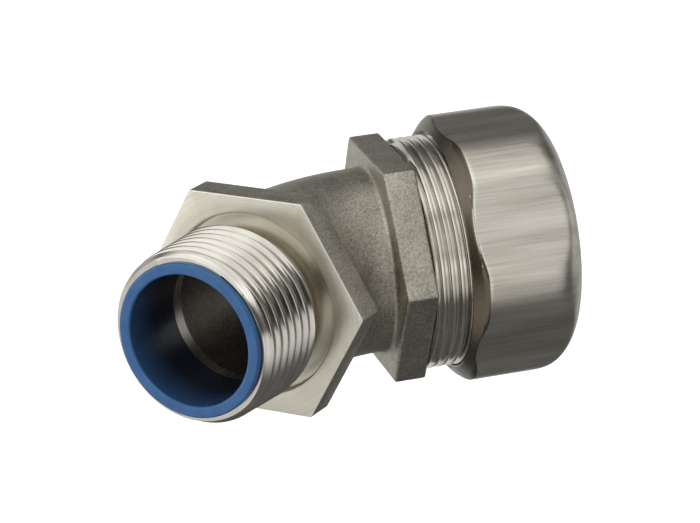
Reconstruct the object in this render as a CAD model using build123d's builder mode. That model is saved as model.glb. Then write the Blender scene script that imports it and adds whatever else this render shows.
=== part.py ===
from build123d import *
from math import atan, cos, degrees, radians, sin, tan
import os

os.makedirs("parts", exist_ok=True)

# A 45 degree compression fitting for liquid-tight flexible conduit, trade size 3/4.
# The hub's bearing face lies on the XY plane round the origin. The taper pipe thread
# points down, along -Z, and the gland end leaves the elbow towards +X and +Z.
# Everything is in millimetres and degrees.

# Elbow
bend_angle = 45.0
hub_to_centre = 17.1  # from the bearing face to where the two axes cross
bend_radius = 21.8
bore_radius = 10.1
elbow_wall = 3.9
root_fillet = 0.7  # where the elbow grows out of each hexagon

# Hub hexagon
hub_rim = 2.5  # left between the recess in the bearing face and the flats
hub_thickness = 4.95
hub_corner_angle = 1.7  # from +X to the nearest corner
hex_corner_round = 0.6  # both hexagons are cast, so their edges are soft
hex_rim_round = 0.45

# Recess in the bearing face for a sealing ring, round the relieved end of the thread
recess_width = 1.6
recess_depth = 1.4

# Taper pipe thread, 14 to the inch, 1 in 16 on diameter
pipe_length = 16.0  # from the bearing face to the open end
pipe_wall = 2.3  # from the throat's seat to the crests, at the open end
pipe_pitch = 25.4 / 14
pipe_taper = 1 / 32  # gained on the radius for each millimetre towards the hub
pipe_thread_share = 0.7165  # depth of the thread, as a share of its pitch
pipe_crest_width = 0.15
pipe_crest_offset = 1.42  # of a crest past a whole number of pitches, at zero angle
pipe_lead = 0.75  # chamfer that starts the thread
pipe_runout = 1.3  # slope that ends it
pipe_relief_length = 3.0

# Insulated throat
throat_step = 0.3  # its bore is this much tighter than the elbow's
throat_wall = 0.85
throat_depth = 11.0  # how far it reaches into the pipe
throat_lip_step = 0.15  # between the lip's edge and the root of the thread
throat_lip_height = 1.0
throat_lip_round = 0.42
throat_chamfer = 0.4
throat_clearance = 0.05

# Rear hexagon and gland thread, 18 to the inch, on the slanted axis
rear_straight = 0.74  # from the end of the bend to the hexagon
rear_corner_angle = 2.8
rear_hex_thickness = 4.9
rear_flat_depth = 0.275  # of the flats, below the root of the gland thread
rear_shoulder = 1.2  # at least this much of the hexagon stands out round the elbow
gland_wall = 2.4  # from the socket to the crests
gland_pitch = 25.4 / 18
gland_thread_share = 0.567  # depth of the thread, as a share of its pitch
gland_crest_share = 0.2126  # width of its crests, as a share of its pitch
gland_crest_offset = 0.35  # of a crest past a whole number of pitches, at zero angle
gland_length = 11.35
gland_lead = 0.7
thread_flank = 30.0

# Socket for the ferrule, with a bevel at its mouth for the sealing ring
socket_clearance = 0.5  # round the sealing ring's nose
socket_depth = 8.0
ring_bevel_clearance = 0.2

# Gland nut, a rounded hexagon with a domed end
nut_gap = 5.35  # from the rear hexagon to the nut, as delivered
nut_tightening = 3.2  # how far the nut still has to go
nut_flat_wall = 1.45  # from the thread's root to the flats
nut_outer_wall = 2.85  # and to the turned outside of the corners
nut_corner_round = 11.0
nut_corner_angle = 6.3
nut_back_land = 0.2
nut_back_bevel = 2.0
nut_dome_length = 5.7
nut_front_land = 1.9
nut_opening_chamfer = 0.6
nut_mouth_chamfer = 0.3
nut_relief_margin = 0.4
nut_thread_length = 8.0
nut_front_wall = 4.4
thread_radial_clearance = 0.15
thread_crest_clearance = 0.225
thread_flank_clearance = 0.12
washer_seat_gap = 0.1

# Conduit, which isn't part of the fitting, and the room that it needs
conduit_radius = 13.3
conduit_clearance = 0.4

# Slip washer
washer_thickness = 1.0
washer_bore_clearance = 0.6
washer_side_clearance = 0.3
washer_edge = 0.15

# Sealing ring
ring_length = 5.7
ring_nose_length = 3.7
ring_wall = 2.1
ring_nose_wall = 1.2
ring_bore_clearance = 0.2
ring_side_clearance = 0.8
ring_gap = 0.3  # from the end of the gland thread
ring_round = 0.25

# Ferrule that screws into the end of the conduit
ferrule_bore_radius = 9.0
ferrule_sleeve_wall = 0.8
ferrule_length = 14.5
ferrule_base = 1.2
ferrule_cup_wall = 1.2
ferrule_cup_length = 3.9
ferrule_side_clearance = 0.25
ferrule_seat_gap = 0.1
ferrule_ridge_pitch = 3.2
ferrule_ridge_height = 0.55
ferrule_ridge_width = 0.35
ferrule_ridge_margin = 1.2
ferrule_tip = 0.4

# How far a thread ridge is sunk into the metal that carries it, how far past each end of its
# thread it is swept before it is trimmed, and how far its trimming outline clears its crests
ridge_sink = 0.1
ridge_start = 1.3
ridge_clear = 0.6

# Radii that grow outward from the elbow's bore: throat, pipe thread, recess and hub hexagon
elbow_radius = bore_radius + elbow_wall
throat_bore_radius = bore_radius - throat_step
throat_tube_radius = throat_bore_radius + throat_wall
pipe_thread_depth = pipe_thread_share * pipe_pitch
pipe_end_radius = throat_tube_radius + throat_clearance + pipe_wall
pipe_core_end_radius = pipe_end_radius - pipe_thread_depth
throat_lip_radius = pipe_core_end_radius - throat_lip_step
relief_radius = pipe_core_end_radius + pipe_length * pipe_taper
recess_radius = relief_radius + recess_width
hub_across_flats = 2 * (recess_radius + hub_rim)

# Radii that grow outward from the conduit: ring, washer, socket, gland thread and nut
ring_bore_radius = conduit_radius + ring_bore_clearance
ring_nose_radius = ring_bore_radius + ring_nose_wall
ring_radius = ring_bore_radius + ring_wall
washer_bore_radius = conduit_radius + washer_bore_clearance
nut_opening_radius = conduit_radius + conduit_clearance
nut_pocket_radius = ring_radius + ring_side_clearance
washer_radius = nut_pocket_radius - washer_side_clearance
socket_radius = ring_nose_radius + socket_clearance
ferrule_radius = socket_radius - ferrule_side_clearance
ferrule_sleeve_radius = ferrule_bore_radius + ferrule_sleeve_wall
gland_radius = socket_radius + gland_wall
gland_thread_depth = gland_thread_share * gland_pitch
gland_crest_width = gland_crest_share * gland_pitch
gland_core_radius = gland_radius - gland_thread_depth
rear_across_flats = 2 * max(gland_core_radius - rear_flat_depth, elbow_radius + rear_shoulder)
nut_thread_radius = gland_radius + thread_radial_clearance
nut_crest_radius = gland_core_radius + thread_crest_clearance
nut_mouth_radius = nut_thread_radius + nut_mouth_chamfer
nut_back_radius = nut_mouth_radius + nut_back_land
nut_across_flats = 2 * (nut_thread_radius + nut_flat_wall)
nut_outer_radius = nut_thread_radius + nut_outer_wall
nut_dome_end_radius = nut_opening_radius + nut_opening_chamfer + nut_front_land

# Planes and axes of the two ends
centre = Vector(0, 0, hub_to_centre)
gland_direction = Vector(sin(radians(bend_angle)), 0, cos(radians(bend_angle)))
gland_across = Vector(cos(radians(bend_angle)), 0, -sin(radians(bend_angle)))
hub_plane = Plane.XY
gland_plane = Plane(origin=centre, x_dir=gland_across, z_dir=gland_direction)
hub_section = Plane.XZ
gland_section = Plane(origin=centre, x_dir=gland_across, z_dir=(0, -1, 0))
gland_axis = Axis(centre, gland_direction)

# Places along the gland axis, counted from where the two axes cross
rear_hex_start = bend_radius * tan(radians(bend_angle / 2)) + rear_straight
rear_hex_end = rear_hex_start + rear_hex_thickness
gland_end = rear_hex_end + gland_length
socket_floor = gland_end - socket_depth
nut_back = rear_hex_end + nut_gap
ring_nose = gland_end + ring_gap
washer_back = ring_nose + ring_length
washer_seat = washer_back + washer_thickness + washer_seat_gap
nut_front = washer_seat + nut_front_wall
ferrule_back = socket_floor + ferrule_seat_gap


# A revolved solid from a half section, given as (radius, distance along the axis) points
def turned(section, axis, outline):
    with BuildPart() as piece:
        with BuildSketch(section):
            with BuildLine():
                Polyline(*outline, close=True)
            make_face()
        revolve(axis=axis)
    return piece.part


# One helical ridge, trimmed to the turned outline that its thread may fill. Its crest stands
# at crest_radius, and side is 1 for a ridge that stands out of a shaft and -1 for one that
# stands into a hole. A crest crosses the plane's X axis at crest_offset past a whole number
# of pitches. The ridge is made upright and then placed on the plane.
def thread_ridge(
    plane, limits, pitch, crest_radius, height, crest_width, crest_offset, start, end, side=1, taper=0.0
):
    base_radius = crest_radius - side * (height + ridge_sink)
    crest_half = side * crest_width / 2
    base_half = crest_half + side * (height + ridge_sink) * tan(radians(thread_flank))
    start_angle = 360 * (start - crest_offset) / pitch
    with BuildPart() as ridge:
        with BuildLine(Plane.XY.offset(start)) as path:
            Helix(pitch, end - start, crest_radius, cone_angle=degrees(atan(taper)))
        with BuildSketch(Plane.XZ):
            with BuildLine():
                Polyline(
                    (base_radius, start - base_half),
                    (crest_radius, start - crest_half),
                    (crest_radius, start + crest_half),
                    (base_radius, start + base_half),
                    close=True,
                )
            make_face()
        sweep(path=path.line, is_frenet=True)
        with BuildSketch(Plane.XZ):
            with BuildLine():
                Polyline(*limits, close=True)
            make_face()
        revolve(axis=Axis.Z, mode=Mode.INTERSECT)
    return plane * ridge.part.rotate(Axis.Z, start_angle)


# A cast hexagon, with rounded corners and with rounded rims at the chosen ends
def cast_hexagon(plane, across_flats, corner_angle, thickness, rounded_ends):
    with BuildPart() as plate:
        with BuildSketch(plane) as outline:
            RegularPolygon(across_flats / 2, 6, major_radius=False, rotation=corner_angle)
            fillet(outline.vertices(), hex_corner_round)
        extrude(amount=thickness)
        ends = plate.faces().sort_by(Axis(plane.origin, plane.z_dir))
        for end in rounded_ends:
            fillet(ends[end].edges(), hex_rim_round)
    return plate.part


# The bar that runs round the elbow, of a given radius, from below the hub's bearing face
# to a distance along the gland axis
def elbow_bar(radius, start, end):
    with BuildPart() as bar:
        with BuildLine(hub_section) as path:
            FilletPolyline(
                (0, start),
                (0, hub_to_centre),
                (end * sin(radians(bend_angle)), hub_to_centre + end * cos(radians(bend_angle))),
                radius=bend_radius,
            )
        with BuildSketch(hub_plane.offset(start)):
            Circle(radius)
        sweep(path=path.line)
    return bar.part


# Pipe thread: a tapered core and one ridge, with a chamfered start and a relieved end
pipe_open_end = -pipe_length
pipe_thread_end = -pipe_relief_length
pipe_core_hub_radius = pipe_core_end_radius + (pipe_thread_end - pipe_open_end) * pipe_taper
pipe_ridge_start = pipe_open_end - ridge_start
pipe_ridge = thread_ridge(
    hub_plane,
    [
        (0, pipe_open_end),
        (pipe_end_radius - pipe_lead, pipe_open_end),
        (pipe_end_radius + ridge_clear, pipe_open_end + pipe_lead + ridge_clear),
        (pipe_core_hub_radius + pipe_thread_depth + ridge_clear, pipe_thread_end - pipe_runout),
        (relief_radius, pipe_thread_end),
        (0, pipe_thread_end),
    ],
    pipe_pitch,
    pipe_end_radius - ridge_start * pipe_taper,
    pipe_thread_depth,
    pipe_crest_width,
    pipe_crest_offset,
    pipe_ridge_start,
    pipe_thread_end + ridge_start,
    taper=pipe_taper,
)

# Gland thread: a straight core and one ridge, chamfered where the nut is put on
gland_ridge = thread_ridge(
    gland_plane,
    [
        (0, rear_hex_end),
        (gland_radius + ridge_clear, rear_hex_end),
        (gland_radius + ridge_clear, gland_end - gland_lead - ridge_clear),
        (gland_radius - gland_lead, gland_end),
        (0, gland_end),
    ],
    gland_pitch,
    gland_radius,
    gland_thread_depth,
    gland_crest_width,
    gland_crest_offset,
    rear_hex_end - ridge_start,
    gland_end + ridge_start,
)

# Body: one casting from the pipe thread to the gland thread
ring_slope = (ring_radius - ring_nose_radius) / ring_nose_length
bevel_mouth_radius = (
    ring_nose_radius + (gland_end - ring_nose + nut_tightening) * ring_slope + ring_bevel_clearance
)
bevel_depth = (bevel_mouth_radius - socket_radius) / ring_slope

with BuildPart() as body:
    add(cast_hexagon(hub_plane, hub_across_flats, hub_corner_angle, hub_thickness, [-1]))
    add(
        cast_hexagon(
            gland_plane.offset(rear_hex_start),
            rear_across_flats,
            rear_corner_angle,
            rear_hex_thickness,
            [0, -1],
        )
    )
    add(elbow_bar(elbow_radius, hub_thickness / 2, rear_hex_start + rear_hex_thickness / 2))
    elbow_rings = body.edges().filter_by(GeomType.CIRCLE).group_by(SortBy.RADIUS)[-1]
    elbow_rings = elbow_rings.sort_by(gland_axis)
    fillet([elbow_rings[0], elbow_rings[-1]], root_fillet)
    with BuildSketch(hub_section):
        with Locations((relief_radius, 0)):
            Rectangle(recess_radius - relief_radius, recess_depth, align=(Align.MIN, Align.MIN))
    revolve(axis=Axis.Z, mode=Mode.SUBTRACT)
    add(
        turned(
            hub_section,
            Axis.Z,
            [
                (0, pipe_open_end),
                (pipe_core_end_radius, pipe_open_end),
                (pipe_core_hub_radius, pipe_thread_end),
                (relief_radius, pipe_thread_end),
                (relief_radius, hub_thickness / 2),
                (0, hub_thickness / 2),
            ],
        )
    )
    with BuildSketch(gland_plane.offset(rear_hex_end)):
        Circle(gland_core_radius)
    extrude(amount=gland_length)
    add(elbow_bar(bore_radius, pipe_open_end, socket_floor), mode=Mode.SUBTRACT)
    with BuildSketch(hub_plane.offset(pipe_open_end)):
        Circle(throat_tube_radius + throat_clearance)
    extrude(amount=throat_depth, mode=Mode.SUBTRACT)
    with BuildSketch(gland_section):
        with BuildLine():
            Polyline(
                (0, socket_floor),
                (socket_radius, socket_floor),
                (socket_radius, gland_end - bevel_depth),
                (bevel_mouth_radius, gland_end),
                (0, gland_end),
                close=True,
            )
        make_face()
    revolve(axis=gland_axis, mode=Mode.SUBTRACT)
    add(pipe_ridge, clean=False)
    add(gland_ridge, clean=False)

body.part.label = "body"
export_step(body.part, "parts/body.step")

# Insulated throat: a tube pressed into the pipe, with a rounded lip over its end
with BuildPart() as insulated_throat:
    add(
        turned(
            hub_section,
            Axis.Z,
            [
                (throat_bore_radius, pipe_open_end - throat_lip_height),
                (throat_lip_radius, pipe_open_end - throat_lip_height),
                (throat_lip_radius, pipe_open_end),
                (throat_tube_radius, pipe_open_end),
                (throat_tube_radius, pipe_open_end + throat_depth),
                (throat_bore_radius, pipe_open_end + throat_depth),
            ],
        )
    )
    fillet(insulated_throat.faces().sort_by(Axis.Z)[0].edges(), throat_lip_round)
    inner_end = insulated_throat.faces().sort_by(Axis.Z)[-1]
    chamfer(inner_end.edges().sort_by(SortBy.RADIUS)[-1], throat_chamfer)

insulated_throat.part.label = "insulated_throat"
export_step(insulated_throat.part, "parts/insulated_throat.step")

# Gland nut: its thread runs between the body's turns, half a pitch away
nut_ridge_height = nut_thread_radius - nut_crest_radius
body_flank_width = (gland_radius - nut_crest_radius) * tan(radians(thread_flank))
body_ridge_width = gland_crest_width + 2 * body_flank_width
nut_crest_width = gland_pitch - body_ridge_width - 2 * thread_flank_clearance
nut_thread_end = nut_back + nut_thread_length
nut_relief_end = gland_end + nut_tightening + nut_relief_margin
nut_ridge = thread_ridge(
    gland_plane,
    [
        (nut_crest_radius - ridge_clear, nut_back + nut_mouth_chamfer + ridge_clear),
        (nut_mouth_radius, nut_back),
        (nut_mouth_radius, nut_thread_end + nut_mouth_chamfer),
        (nut_crest_radius - ridge_clear, nut_thread_end - ridge_clear),
    ],
    gland_pitch,
    nut_crest_radius,
    nut_ridge_height,
    nut_crest_width,
    gland_crest_offset + gland_pitch / 2,
    nut_back - ridge_start,
    nut_thread_end + ridge_start,
    side=-1,
)

with BuildPart() as gland_nut:
    with BuildSketch(gland_plane.offset(nut_back)) as nut_outline:
        RegularPolygon(nut_across_flats / 2, 6, major_radius=False, rotation=nut_corner_angle)
        fillet(nut_outline.vertices(), nut_corner_round)
    extrude(amount=nut_front - nut_back)
    with BuildSketch(gland_section):
        with BuildLine():
            Polyline(
                (nut_opening_radius, nut_front),
                (nut_opening_radius, nut_back),
                (nut_back_radius, nut_back),
                (nut_outer_radius, nut_back + nut_back_bevel),
                (nut_outer_radius, nut_front - nut_dome_length),
            )
            TangentArc(
                (nut_outer_radius, nut_front - nut_dome_length),
                (nut_dome_end_radius, nut_front),
                tangent=(0, 1),
            )
            Line((nut_dome_end_radius, nut_front), (nut_opening_radius, nut_front))
        make_face()
    revolve(axis=gland_axis, mode=Mode.INTERSECT)
    chamfer(
        gland_nut.faces().sort_by(gland_axis)[-1].edges().sort_by(SortBy.RADIUS)[0],
        nut_opening_chamfer,
    )
    with BuildSketch(gland_section):
        with BuildLine():
            Polyline(
                (0, nut_back),
                (nut_mouth_radius, nut_back),
                (nut_thread_radius, nut_back + nut_mouth_chamfer),
                (nut_thread_radius, nut_relief_end),
                (nut_pocket_radius, nut_relief_end),
                (nut_pocket_radius, washer_seat),
                (0, washer_seat),
                close=True,
            )
        make_face()
    revolve(axis=gland_axis, mode=Mode.SUBTRACT)
    add(nut_ridge, clean=False)

gland_nut.part.label = "gland_nut"
export_step(gland_nut.part, "parts/gland_nut.step")

# Slip washer, loose between the nut's shoulder and the sealing ring
with BuildPart() as slip_washer:
    with BuildSketch(gland_plane.offset(washer_back)):
        Circle(washer_radius)
        Circle(washer_bore_radius, mode=Mode.SUBTRACT)
    extrude(amount=washer_thickness)
    chamfer(slip_washer.edges(), washer_edge)

slip_washer.part.label = "slip_washer"
export_step(slip_washer.part, "parts/slip_washer.step")

# Sealing ring, with the nose that the nut drives into the body's bevel
with BuildPart() as sealing_ring:
    add(
        turned(
            gland_section,
            gland_axis,
            [
                (ring_bore_radius, ring_nose),
                (ring_nose_radius, ring_nose),
                (ring_radius, ring_nose + ring_nose_length),
                (ring_radius, washer_back),
                (ring_bore_radius, washer_back),
            ],
        )
    )
    fillet(sealing_ring.faces().sort_by(gland_axis)[0].edges(), ring_round)

sealing_ring.part.label = "sealing_ring"
export_step(sealing_ring.part, "parts/sealing_ring.step")

# Ferrule: a sleeve with a coarse ridge that bites into the conduit, and a cup over its cut end
ferrule_cup_end = ferrule_back + ferrule_cup_length
ferrule_end = ferrule_back + ferrule_length
ferrule_ridge = thread_ridge(
    gland_plane,
    [
        (0, ferrule_back + ferrule_base / 2),
        (ferrule_radius, ferrule_back + ferrule_base / 2),
        (ferrule_sleeve_radius, ferrule_end - ferrule_ridge_margin),
        (0, ferrule_end - ferrule_ridge_margin),
    ],
    ferrule_ridge_pitch,
    ferrule_sleeve_radius + ferrule_ridge_height,
    ferrule_ridge_height,
    ferrule_ridge_width,
    0,
    ferrule_back + ferrule_base / 2,
    ferrule_end,
)

with BuildPart() as ferrule:
    add(
        turned(
            gland_section,
            gland_axis,
            [
                (ferrule_bore_radius, ferrule_back),
                (ferrule_radius, ferrule_back),
                (ferrule_radius, ferrule_cup_end),
                (ferrule_radius - ferrule_cup_wall, ferrule_cup_end),
                (ferrule_radius - ferrule_cup_wall, ferrule_back + ferrule_base),
                (ferrule_sleeve_radius, ferrule_back + ferrule_base),
                (ferrule_sleeve_radius, ferrule_end),
                (ferrule_bore_radius, ferrule_end),
            ],
        )
    )
    chamfer(ferrule.faces().sort_by(gland_axis)[-1].edges().sort_by(SortBy.RADIUS)[-1], ferrule_tip)
    add(ferrule_ridge, clean=False)

ferrule.part.label = "ferrule"
export_step(ferrule.part, "parts/ferrule.step")
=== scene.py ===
from math import atan, cos, pi, radians, sin, sqrt, tan

import bmesh
import bpy
from mathutils import Matrix, Vector


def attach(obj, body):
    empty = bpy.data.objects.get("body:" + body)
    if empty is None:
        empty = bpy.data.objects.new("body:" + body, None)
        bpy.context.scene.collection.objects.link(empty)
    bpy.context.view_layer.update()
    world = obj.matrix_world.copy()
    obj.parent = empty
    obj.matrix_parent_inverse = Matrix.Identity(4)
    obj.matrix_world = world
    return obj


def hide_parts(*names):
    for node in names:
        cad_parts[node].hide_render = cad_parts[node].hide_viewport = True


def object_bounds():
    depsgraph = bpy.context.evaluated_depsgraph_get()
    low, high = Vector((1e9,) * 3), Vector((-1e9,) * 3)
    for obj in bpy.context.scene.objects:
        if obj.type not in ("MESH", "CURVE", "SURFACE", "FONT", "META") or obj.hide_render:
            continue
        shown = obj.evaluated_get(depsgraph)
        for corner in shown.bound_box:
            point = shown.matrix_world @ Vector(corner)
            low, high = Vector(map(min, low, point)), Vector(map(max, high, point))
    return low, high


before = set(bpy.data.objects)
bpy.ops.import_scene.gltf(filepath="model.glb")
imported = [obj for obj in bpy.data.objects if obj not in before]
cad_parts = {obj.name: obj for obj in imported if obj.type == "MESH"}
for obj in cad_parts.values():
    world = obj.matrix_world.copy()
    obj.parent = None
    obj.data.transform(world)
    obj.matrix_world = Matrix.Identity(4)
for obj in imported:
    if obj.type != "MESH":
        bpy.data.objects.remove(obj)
cadLow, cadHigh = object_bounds()

mm = 0.001
slant = radians(45)  # between the pipe thread's axis and the nut's
crossing = 17.1 * mm  # where the two axes meet, above the bearing face
weldGap = 0.0004 * mm  # points nearer than this become one
crispAngle = radians(32)  # edges sharper than this aren't smoothed over
onSurface = 0.05 * mm  # how near a face is to a surface that it belongs to
hubPlace = Matrix.Identity(4)
slantPlace = Matrix(
    (
        (cos(slant), 0, sin(slant), 0),
        (0, 1, 0, 0),
        (-sin(slant), 0, cos(slant), crossing),
        (0, 0, 0, 1),
    )
)


def addNode(tree, kind, inputs=None, **settings):
    made = tree.nodes.new(kind)
    for key, value in settings.items():
        setattr(made, key, value)
    for key, value in (inputs or {}).items():
        if isinstance(value, bpy.types.NodeSocket):
            tree.links.new(value, made.inputs[key])
        else:
            made.inputs[key].default_value = value
    return made


def calc(tree, operation, *values, clamp=False):
    inputs = dict(enumerate(values))
    return addNode(tree, "ShaderNodeMath", inputs, operation=operation, use_clamp=clamp).outputs[0]


def ramp(tree, value, stops):
    made = addNode(tree, "ShaderNodeValToRGB", {"Fac": value})
    elements = made.color_ramp.elements
    while len(elements) < len(stops):
        elements.new(0.5)
    for element, (position, colour) in zip(elements, stops):
        element.position = position
        element.color = (*colour, 1)
    return made.outputs["Color"]


def noise(tree, vector, scale, detail, roughness):
    inputs = {"Vector": vector, "Scale": scale, "Detail": detail, "Roughness": roughness}
    return addNode(tree, "ShaderNodeTexNoise", inputs).outputs["Fac"]


def mixColour(tree, share, first, second, blend="MIX"):
    made = addNode(tree, "ShaderNodeMix", data_type="RGBA", blend_type=blend)
    for socket, value in ((0, share), (6, first), (7, second)):
        if isinstance(value, bpy.types.NodeSocket):
            tree.links.new(value, made.inputs[socket])
        else:
            made.inputs[socket].default_value = value
    return made.outputs[2]


def alike(tree, first, second):  # how far two directions agree
    inputs = {0: first, 1: second}
    return addNode(tree, "ShaderNodeVectorMath", inputs, operation="DOT_PRODUCT").outputs["Value"]


def bump(tree, height, strength, distance, below=None):
    inputs = {"Height": height, "Strength": strength, "Distance": distance}
    if below is not None:
        inputs["Normal"] = below
    return addNode(tree, "ShaderNodeBump", inputs).outputs["Normal"]


def newFinish(name, metallic):
    material = bpy.data.materials.new(name)
    material.use_nodes = True
    tree = material.node_tree
    shader = tree.nodes["Principled BSDF"]
    shader.inputs["Metallic"].default_value = metallic
    return material, tree, shader


def placed(tree, onSlant):  # object coordinates, with Z along the piece's own axis
    coordinates = addNode(tree, "ShaderNodeTexCoord").outputs["Object"]
    if not onSlant:
        return coordinates
    inputs = {"Vector": coordinates, "Location": (0, 0, crossing), "Rotation": (0, slant, 0)}
    return addNode(tree, "ShaderNodeMapping", inputs, vector_type="TEXTURE").outputs["Vector"]


def stretched(tree, vector, scale):
    inputs = {"Vector": vector, "Scale": scale}
    return addNode(tree, "ShaderNodeMapping", inputs).outputs["Vector"]


def axisDistance(tree, vector):  # from the Z axis of the given coordinates
    parts = addNode(tree, "ShaderNodeSeparateXYZ", {"Vector": vector}).outputs
    square = calc(tree, "MULTIPLY", parts["X"], parts["X"])
    square = calc(tree, "MULTIPLY_ADD", parts["Y"], parts["Y"], square)
    return calc(tree, "SQRT", square), parts["Z"]


def castFinish(name, darker, paler):
    # blasted casting: fine sparkling grain and faint blotches
    material, tree, shader = newFinish(name, 1.0)
    here = placed(tree, False)
    blotches = noise(tree, here, 240, detail=5, roughness=0.6)
    grain = noise(tree, here, 3000, detail=3, roughness=0.65)
    tone = calc(tree, "MULTIPLY_ADD", grain, 0.72, calc(tree, "MULTIPLY", blotches, 0.28))
    body = ramp(tree, tone, ((0.38, darker), (0.62, paler)))
    tree.links.new(body, shader.inputs["Base Color"])
    gloss = calc(tree, "MULTIPLY_ADD", grain, 0.3, 0.3)
    tree.links.new(gloss, shader.inputs["Roughness"])
    inputs = {"Vector": here, "Scale": 3400, "Randomness": 1.0}
    pits = addNode(tree, "ShaderNodeTexVoronoi", inputs).outputs["Distance"]
    coarse = bump(tree, noise(tree, here, 1100, detail=3, roughness=0.5), 0.5, 0.07 * mm)
    fine = bump(tree, pits, 0.6, 0.05 * mm, coarse)
    tree.links.new(bump(tree, grain, 0.6, 0.05 * mm, fine), shader.inputs["Normal"])
    return material


def turnedFinish(name, onSlant, alongAxis, darker, paler, roughness, lines):
    # fine tool lines that run round the axis, on a face or along a thread
    material, tree, shader = newFinish(name, 1.0)
    here = placed(tree, onSlant)
    distance, height = axisDistance(tree, here)
    across = height if alongAxis else distance
    line = addNode(tree, "ShaderNodeCombineXYZ", {"X": across}).outputs[0]
    feed = noise(tree, line, lines, detail=2, roughness=0.6)
    patches = noise(tree, here, 300, detail=3, roughness=0.5)
    tone = calc(tree, "MULTIPLY_ADD", feed, 0.7, calc(tree, "MULTIPLY", patches, 0.3))
    tree.links.new(ramp(tree, tone, ((0.3, darker), (0.7, paler))), shader.inputs["Base Color"])
    gloss = calc(tree, "MULTIPLY_ADD", patches, 0.1, roughness - 0.05)
    tree.links.new(gloss, shader.inputs["Roughness"])
    tree.links.new(bump(tree, feed, 0.3, 0.012 * mm), shader.inputs["Normal"])
    return material


def brushedFinish(name, darker, paler, tint, bevelShadeTone):
    # brushed along the nut's axis, with long faint bands, a slight straw tint and painted shade on
    # the bevel at the back
    material, tree, shader = newFinish(name, 1.0)
    here = placed(tree, True)
    scratches = noise(tree, stretched(tree, here, (1, 1, 0.02)), 3800, detail=3, roughness=0.65)
    bands = noise(tree, stretched(tree, here, (1, 1, 0.07)), 330, detail=3, roughness=0.5)
    heat = noise(tree, here, 110, detail=3, roughness=0.5)
    tone = calc(tree, "MULTIPLY_ADD", bands, 0.6, calc(tree, "MULTIPLY", scratches, 0.4))
    steel = ramp(tree, tone, ((0.3, darker), (0.68, paler)))
    share = calc(tree, "MULTIPLY", heat, 0.55)
    tinted = mixColour(tree, share, steel, (*tint, 1), "MULTIPLY")
    # painted shade: the bevel at the back is painted dark where it faces the parts behind the nut
    outward = addNode(tree, "ShaderNodeTexCoord").outputs["Normal"]
    towardBack = (-sin(slant), 0, -cos(slant))
    backward = alike(tree, outward, towardBack)
    inputs = {"Value": backward, "From Min": 0.2, "From Max": 0.42}
    bevelShadeShare = addNode(tree, "ShaderNodeMapRange", inputs).outputs[0]
    tree.links.new(mixColour(tree, bevelShadeShare, tinted, (*bevelShadeTone, 1)), shader.inputs["Base Color"])
    gloss = calc(tree, "MULTIPLY_ADD", bands, 0.2, 0.18)
    tree.links.new(gloss, shader.inputs["Roughness"])
    wavy = bump(tree, bands, 0.3, 0.12 * mm)
    tree.links.new(bump(tree, scratches, 0.35, 0.012 * mm, wavy), shader.inputs["Normal"])
    return material


def mouldedFinish(name, onSlant, colour, worn, roughness, deep=None):
    # satin moulded plastic with a little unevenness, with painted shade darkening it down a tube if
    # deep is given
    material, tree, shader = newFinish(name, 0.0)
    here = placed(tree, onSlant)
    cloud = noise(tree, here, 350, detail=4, roughness=0.6)
    shade = ramp(tree, cloud, ((0.3, colour), (0.75, worn)))
    if deep is not None:
        height = axisDistance(tree, here)[1]
        inputs = {"Value": height, "From Min": deep["from"], "From Max": deep["to"]}
        depth = addNode(tree, "ShaderNodeMapRange", inputs).outputs[0]
        shade = mixColour(tree, depth, shade, (*deep["colour"], 1))
    tree.links.new(shade, shader.inputs["Base Color"])
    grain = noise(tree, here, 3500, detail=3, roughness=0.6)
    gloss = calc(tree, "MULTIPLY_ADD", grain, 0.18, roughness - 0.09)
    tree.links.new(gloss, shader.inputs["Roughness"])
    shader.inputs["Specular IOR Level"].default_value = 0.45
    soft = bump(tree, cloud, 0.2, 0.1 * mm)
    tree.links.new(bump(tree, grain, 0.2, 0.012 * mm, soft), shader.inputs["Normal"])
    return material


castSteel = castFinish("castSteel", darker=(0.29, 0.27, 0.222), paler=(0.56, 0.53, 0.45))
# a darker copy of the casting: painted shade for the inside of the bore
boreShadeSteel = castFinish("boreShadeSteel", darker=(0.17, 0.15, 0.125), paler=(0.32, 0.295, 0.25))
facedSteel = turnedFinish(
    "facedSteel",
    onSlant=False,
    alongAxis=False,
    darker=(0.54, 0.51, 0.425),
    paler=(0.78, 0.745, 0.63),
    roughness=0.36,
    lines=2600,
)
# a near-white painted highlight for the thin slanting edges round the bearing face
edgeHighlightSteel = turnedFinish(
    "edgeHighlightSteel",
    onSlant=False,
    alongAxis=False,
    darker=(0.84, 0.82, 0.77),
    paler=(0.97, 0.95, 0.91),
    roughness=0.5,
    lines=2600,
)
pipeSteel = turnedFinish(
    "pipeSteel",
    onSlant=False,
    alongAxis=True,
    darker=(0.48, 0.455, 0.40),
    paler=(0.76, 0.73, 0.67),
    roughness=0.18,
    lines=3200,
)
glandSteel = turnedFinish(
    "glandSteel",
    onSlant=True,
    alongAxis=True,
    darker=(0.50, 0.475, 0.42),
    paler=(0.88, 0.85, 0.78),
    roughness=0.12,
    lines=3400,
)
nutSteel = brushedFinish(
    "nutSteel",
    darker=(0.40, 0.38, 0.33),
    paler=(0.80, 0.78, 0.72),
    tint=(0.93, 0.86, 0.72),
    # a dark painted shade for the bevel at the back of the nut
    bevelShadeTone=(0.14, 0.12, 0.09),
)
nutThreadSteel = turnedFinish(
    "nutThreadSteel",
    onSlant=True,
    alongAxis=True,
    darker=(0.40, 0.38, 0.34),
    paler=(0.70, 0.68, 0.64),
    roughness=0.28,
    lines=3000,
)
washerSteel = turnedFinish(
    "washerSteel",
    onSlant=True,
    alongAxis=False,
    darker=(0.50, 0.50, 0.49),
    paler=(0.76, 0.76, 0.75),
    roughness=0.3,
    lines=2400,
)
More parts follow.
